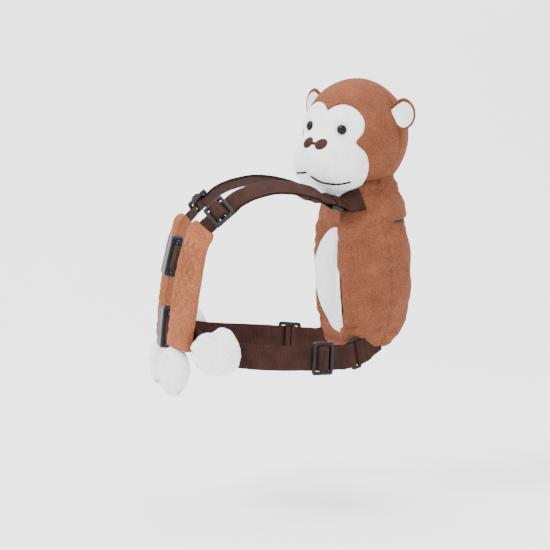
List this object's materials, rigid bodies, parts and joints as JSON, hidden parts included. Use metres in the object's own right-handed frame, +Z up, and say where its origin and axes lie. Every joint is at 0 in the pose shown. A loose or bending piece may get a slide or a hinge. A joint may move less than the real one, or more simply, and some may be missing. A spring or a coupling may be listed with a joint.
{
  "type": "toddler harness backpack",
  "caption": "Plush monkey pouch worn on a toddler's back, held by webbing over both shoulders and round the waist, with plush arms and feet and side-release buckles.",
  "frame": {"origin": "midway between the two shoulder straps, on the underside of their crests, where the harness hangs on the wearer's shoulders", "axes": "+Z up, -Y the way the wearer faces, +X the wearer's left; the pouch lies at +Y"},
  "size_m": [0.208, 0.2646, 0.3159],
  "materials": {
    "brown_plush": "looped terry plush, matt",
    "white_plush": "looped terry plush, matt",
    "webbing": "ribbed polypropylene webbing, matt",
    "black_plastic": "moulded, satin",
    "eye_gloss": "polished",
    "nose_fabric": "satin-stitched, slightly shiny"
  },
  "bodies": {
    "root": {"head": "brown_plush", "face": "white_plush", "nose": "nose_fabric", "eye_left": "eye_gloss", "eye_right": "eye_gloss", "ear_left_shell": "brown_plush", "ear_left_lining": "white_plush", "ear_right_shell": "brown_plush", "ear_right_lining": "white_plush", "body": "brown_plush", "belly": "white_plush", "zipper": "black_plastic", "shoulder_tab_left": "webbing", "shoulder_tab_right": "webbing", "shoulder_strap_left": "webbing", "shoulder_strap_right": "webbing", "waist_tab_left": "webbing", "waist_tab_right": "webbing", "waist_strap_left": "webbing", "waist_strap_right": "webbing", "chest_strap_left": "webbing", "chest_strap_right": "webbing", "shoulder_ring_left": "black_plastic", "shoulder_ring_right": "black_plastic", "waist_ring_left": "black_plastic", "waist_ring_right": "black_plastic", "shoulder_adjuster_left": "black_plastic", "shoulder_adjuster_right": "black_plastic", "waist_adjuster_left": "black_plastic", "waist_adjuster_right": "black_plastic", "arm_left": "brown_plush", "arm_right": "brown_plush", "hand_left": "white_plush", "hand_right": "white_plush", "foot_left": "white_plush", "foot_right": "white_plush", "chest_buckle_female": "black_plastic", "chest_buckle_male": "black_plastic", "waist_buckle_female": "black_plastic", "waist_buckle_male": "black_plastic"}
  },
  "joints": []
}
